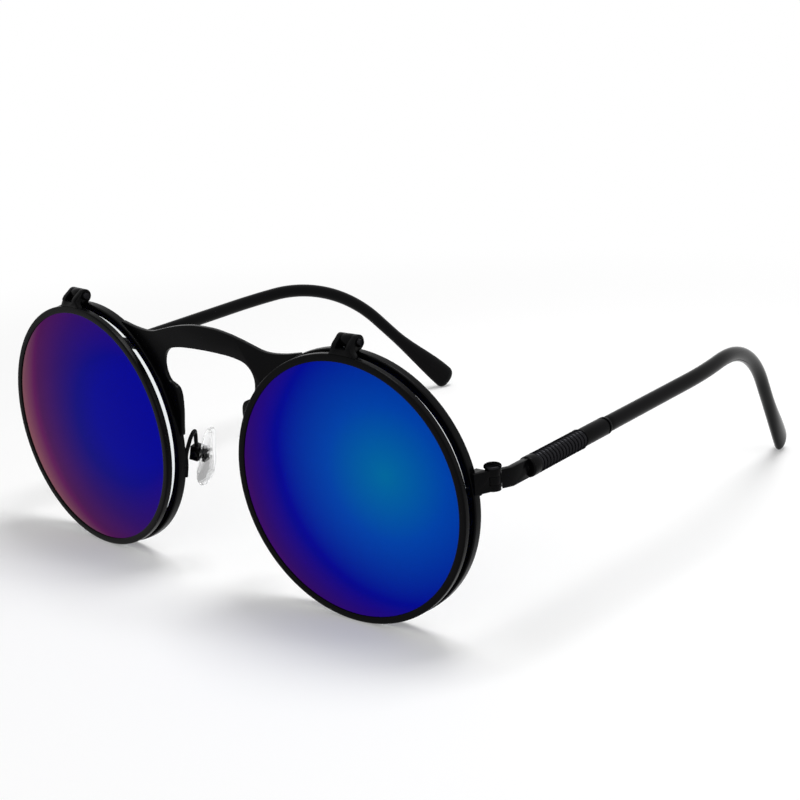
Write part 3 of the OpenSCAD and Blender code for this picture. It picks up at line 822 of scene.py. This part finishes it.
def tip_half_height(sizes, s, end):
    """Half height of a tip along its length: slim, then a flat paddle."""
    swell = ramp((s - end + sizes.tip_grow) / sizes.tip_grow)
    return sizes.tip_front_h + (sizes.tip_end_h - sizes.tip_front_h) * swell


def tip_end(sizes):
    """Distance from the hinge to where a tip's round end starts, so that the end touches the table."""
    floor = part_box("temple_tip_l")[0].z
    lift = sizes.tip_lift * (sizes.tip_end_h - sizes.tip_front_h)
    under = (sizes.tip_end_h - sizes.tip_end_r - lift) * math.cos(sizes.ear_drop - LEAN) + sizes.tip_end_r
    s = sizes.ear_start + sizes.ear_bend_r * sizes.ear_drop
    while (stand(sizes) @ temple_line(sizes, s)).z > floor + under + TIP_CLEAR:
        s += 0.01 * MM
    return s


class EYEWEAR_OT_temple_tips(bpy.types.Operator):
    """Draws the acetate tips along the temples, with rounded paddles"""
    bl_idname = "eyewear.temple_tips"
    bl_label = "Temple Tips"

    def execute(self, context):
        sizes = context.scene.eyewear_sizes
        front = sizes.collar_at + sizes.collar_len + sizes.coil_len + sizes.ferrule_len - sizes.hinge_y
        end = tip_end(sizes)
        stations = self.stations(sizes, front, end)
        bpy.ops.mesh.primitive_circle_add(vertices=28, radius=1, fill_type="NGON", location=(0, 0, 0))
        tip = added("acetate_tip_l")
        edit(tip)
        at, across, tall = stations[0]
        bpy.ops.transform.resize(value=(across, tall, 1))
        bpy.ops.transform.translate(value=(0, 0, at))
        for (at, across, tall), (was, width, height) in zip(stations[1:], stations):
            bpy.ops.mesh.extrude_region_move(TRANSFORM_OT_translate={"value": (0, 0, at - was)})
            bpy.ops.transform.resize(value=(across / width, tall / height, 1))
        done()
        for vertex in tip.data.vertices:
            here = temple_line(sizes, vertex.co.z)
            ahead = (temple_line(sizes, vertex.co.z + 0.5 * MM) - temple_line(sizes, vertex.co.z - 0.5 * MM))
            side = ahead.cross(Vector((0, 0, 1))).normalized()
            rise = side.cross(ahead).normalized()
            lift = sizes.tip_lift * (tip_half_height(sizes, vertex.co.z, end) - sizes.tip_front_h)
            vertex.co = here + side * vertex.co.x + rise * (vertex.co.y + lift)
        place(tip, stand(sizes))
        outward(tip)
        seat_pair(tip, "acetate_tip", "temple_tip", "black_tip", 50)
        return {"FINISHED"}

    def stations(self, sizes, front, end):
        """Rings of a tip as distance from the hinge, half thickness and half height."""
        rings = 70
        round_r = 0.3 * MM
        body = []
        for a in (0, math.pi / 6, math.pi / 3):
            less = round_r * (1 - math.sin(a))
            body.append((front + round_r * (1 - math.cos(a)), sizes.tip_t - less, sizes.tip_front_h - less))
        for i in range(rings + 1):
            s = front + round_r + (end - front - round_r) * i / rings
            body.append((s, sizes.tip_t, tip_half_height(sizes, s, end)))
        for i in range(1, 15):
            a = math.radians(86) * i / 14
            body.append((end + sizes.tip_end_r * math.sin(a), sizes.tip_t * math.cos(a) ** 0.8,
                         sizes.tip_end_h - sizes.tip_end_r * (1 - math.cos(a))))
        return body


def area_lamp(name, size, place_at, target, power):
    """A soft lamp, as wide and as long as size says, that faces a point."""
    data = bpy.data.lights.new(name, "AREA")
    data.shape = "RECTANGLE"
    data.size, data.size_y = size
    data.energy = power
    lamp = bpy.data.objects.new(name, data)
    bpy.context.collection.objects.link(lamp)
    away = Vector(place_at) - Vector(target)
    lamp.matrix_world = Matrix.Translation(place_at) @ away.to_track_quat("Z", "Y").to_matrix().to_4x4()
    return lamp


class EyewearStage(bpy.types.PropertyGroup):
    azimuth: FloatProperty(
        name="Azimuth", description="Turn of the camera about the object",
        default=math.radians(40.68), subtype="ANGLE", unit="ROTATION")
    elevation: FloatProperty(
        name="Elevation", description="How far the camera looks down",
        default=math.radians(16.02), subtype="ANGLE", unit="ROTATION")
    roll: FloatProperty(
        name="Roll", description="Tilt of the camera about its own view",
        default=math.radians(-2.18), subtype="ANGLE", unit="ROTATION")
    at: FloatVectorProperty(
        name="Camera Place", description="Camera from the middle of the face, square to the floor",
        default=(224.3 * MM, -203.1 * MM, 96.3 * MM), size=3, subtype="TRANSLATION", unit="LENGTH")
    focal: FloatProperty(
        name="Focal Length", description="Focal length in millimetres", default=72.82)
    lamp_power: FloatProperty(
        name="Lamp Power", description="Power of the soft lamp above the object in watts", default=2.0)
    strip_power: FloatProperty(
        name="Strip Power", description="Power of each narrow lamp that draws the highlights", default=0.35)
    glow: FloatProperty(
        name="Room Light", description="Strength of the room's even light", default=0.42)
    paper_glow: FloatProperty(
        name="Paper Glow", description="Share of plain white in the paper under the object", default=0.22)
    mirror_glow: FloatProperty(
        name="Mirrored Glow", description="Share of plain white in the paper as mirrors and glass show it",
        default=0.88)
    clear_from: FloatProperty(
        name="Shadow Reach", description="Distance at which the paper starts to turn plain white",
        default=120 * MM, unit="LENGTH")
    clear_at: FloatProperty(
        name="White From", description="Distance from which the paper is plain white",
        default=300 * MM, unit="LENGTH")


def seen_rays(tree, seen, mirrored):
    """A share for a ray straight from the camera, another in a mirror or through glass, and 0 for light."""
    path = node(tree, "ShaderNodeLightPath")
    either = math_node(tree, "MAXIMUM", path.outputs["Is Glossy Ray"], path.outputs["Is Transmission Ray"])
    indirect = math_node(tree, "MULTIPLY", either, mirrored)
    return math_node(tree, "MULTIPLY_ADD", path.outputs["Is Camera Ray"], seen, indirect)


def white_world(glow):
    """A room that lights evenly, and is plain white wherever it is seen, mirrored or seen through."""
    world = bpy.data.worlds.new("white room")
    bpy.context.scene.world = world
    world.use_nodes = True
    tree = world.node_tree
    tree.nodes.clear()
    light = node(tree, "ShaderNodeBackground", {"Color": (1, 1, 1, 1), "Strength": glow})
    seen = node(tree, "ShaderNodeBackground", {"Color": (1, 1, 1, 1), "Strength": 1.0})
    mix = node(tree, "ShaderNodeMixShader", Fac=seen_rays(tree, 1.0, 1.0))
    tree.links.new(light.outputs["Background"], mix.inputs[1])
    tree.links.new(seen.outputs["Background"], mix.inputs[2])
    output = tree.nodes.new("ShaderNodeOutputWorld")
    tree.links.new(mix.outputs["Shader"], output.inputs["Surface"])


def floor_paper(colour, stage):
    """White background paper: matt under the object, and plain white further out where it is seen."""
    material, tree, output = blank("white background paper")
    matt = node(tree, "ShaderNodeBsdfDiffuse", {"Color": colour})
    own = node(tree, "ShaderNodeEmission", {"Color": (1, 1, 1, 1), "Strength": 1.0})
    here = node(tree, "ShaderNodeTexCoord")
    reach = node(tree, "ShaderNodeVectorMath", {"operation": "LENGTH"}, Vector=here.outputs["Object"])
    fade = node(tree, "ShaderNodeMapRange", {
        "interpolation_type": "SMOOTHSTEP", "From Min": stage.clear_from, "From Max": stage.clear_at,
        "To Min": stage.paper_glow}, Value=reach.outputs["Value"])
    mix = node(tree, "ShaderNodeMixShader", Fac=seen_rays(tree, fade.outputs["Result"], stage.mirror_glow))
    tree.links.new(matt.outputs["BSDF"], mix.inputs[1])
    tree.links.new(own.outputs["Emission"], mix.inputs[2])
    tree.links.new(mix.outputs["Shader"], output.inputs["Surface"])
    return material


class EYEWEAR_OT_stage(bpy.types.Operator):
    """Sets the floor, the soft light and the camera"""
    bl_idname = "eyewear.stage"
    bl_label = "Stage"

    def execute(self, context):
        stage = context.scene.eyewear_stage
        sizes = context.scene.eyewear_sizes
        context.scene.view_settings.view_transform = "Standard"
        bpy.ops.object.select_all(action="DESELECT")
        bpy.ops.mesh.primitive_plane_add(size=6, location=(0, 0, -0.02 * MM))
        floor = added("floor_paper")
        floor.data.materials.append(floor_paper(context.scene.eyewear_colours.floor, stage))
        white_world(stage.glow)
        area_lamp("top lamp", (0.25, 0.25), (0.05, 0.1, 0.55), (0, 0, 0), stage.lamp_power)
        area_lamp("front strip", (0.5, 0.06), (0.15, -0.5, 0.35), (0, 0, 0.02), stage.strip_power)
        area_lamp("side strip", (0.06, 0.5), (0.5, 0.15, 0.3), (0, 0, 0.02), stage.strip_power)
        camera = bpy.data.objects.new("camera", bpy.data.cameras.new("camera"))
        context.collection.objects.link(camera)
        camera.data.lens = stage.focal
        camera.data.sensor_width = 36
        camera.data.sensor_fit = "HORIZONTAL"
        camera.data.clip_start = 0.01
        turn = (Matrix.Rotation(stage.azimuth, 4, "Z")
                @ Matrix.Rotation(math.pi / 2 - stage.elevation, 4, "X")
                @ Matrix.Rotation(stage.roll, 4, "Z"))
        camera.matrix_world = Matrix.Translation(stand(sizes).translation + Vector(stage.at)) @ turn
        context.scene.camera = camera
        return {"FINISHED"}


class EYEWEAR_PT_panel(bpy.types.Panel):
    """Lists the steps that dress the glasses"""
    bl_idname = "EYEWEAR_PT_panel"
    bl_label = "Flip Up Sunglasses"
    bl_space_type = "VIEW_3D"
    bl_region_type = "UI"
    bl_category = "Eyewear"

    def draw(self, context):
        for step in STEPS:
            self.layout.operator(step.bl_idname)
        scene = context.scene
        for group in (scene.eyewear_sizes, scene.eyewear_colours, scene.eyewear_stage):
            for name in group.bl_rna.properties.keys():
                if name not in ("rna_type", "name"):
                    self.layout.prop(group, name)


STEPS = (EYEWEAR_OT_finishes, EYEWEAR_OT_rims, EYEWEAR_OT_lenses, EYEWEAR_OT_hardware, EYEWEAR_OT_sleeves,
         EYEWEAR_OT_nose_pads, EYEWEAR_OT_coil_sleeves, EYEWEAR_OT_temple_tips, EYEWEAR_OT_stage)
CLASSES = (EyewearSizes, EyewearColours, EyewearStage) + STEPS + (EYEWEAR_PT_panel,)


def register():
    for cls in CLASSES:
        bpy.utils.register_class(cls)
    bpy.types.Scene.eyewear_sizes = PointerProperty(type=EyewearSizes)
    bpy.types.Scene.eyewear_colours = PointerProperty(type=EyewearColours)
    bpy.types.Scene.eyewear_stage = PointerProperty(type=EyewearStage)


def unregister():
    del bpy.types.Scene.eyewear_stage
    del bpy.types.Scene.eyewear_colours
    del bpy.types.Scene.eyewear_sizes
    for cls in reversed(CLASSES):
        bpy.utils.unregister_class(cls)


def main():
    register()
    bpy.ops.eyewear.finishes()
    bpy.ops.eyewear.rims()
    bpy.ops.eyewear.lenses()
    bpy.ops.eyewear.hardware()
    bpy.ops.eyewear.sleeves()
    bpy.ops.eyewear.nose_pads()
    bpy.ops.eyewear.coil_sleeves()
    bpy.ops.eyewear.temple_tips()
    bpy.ops.eyewear.stage()


if __name__ == "__main__":
    main()
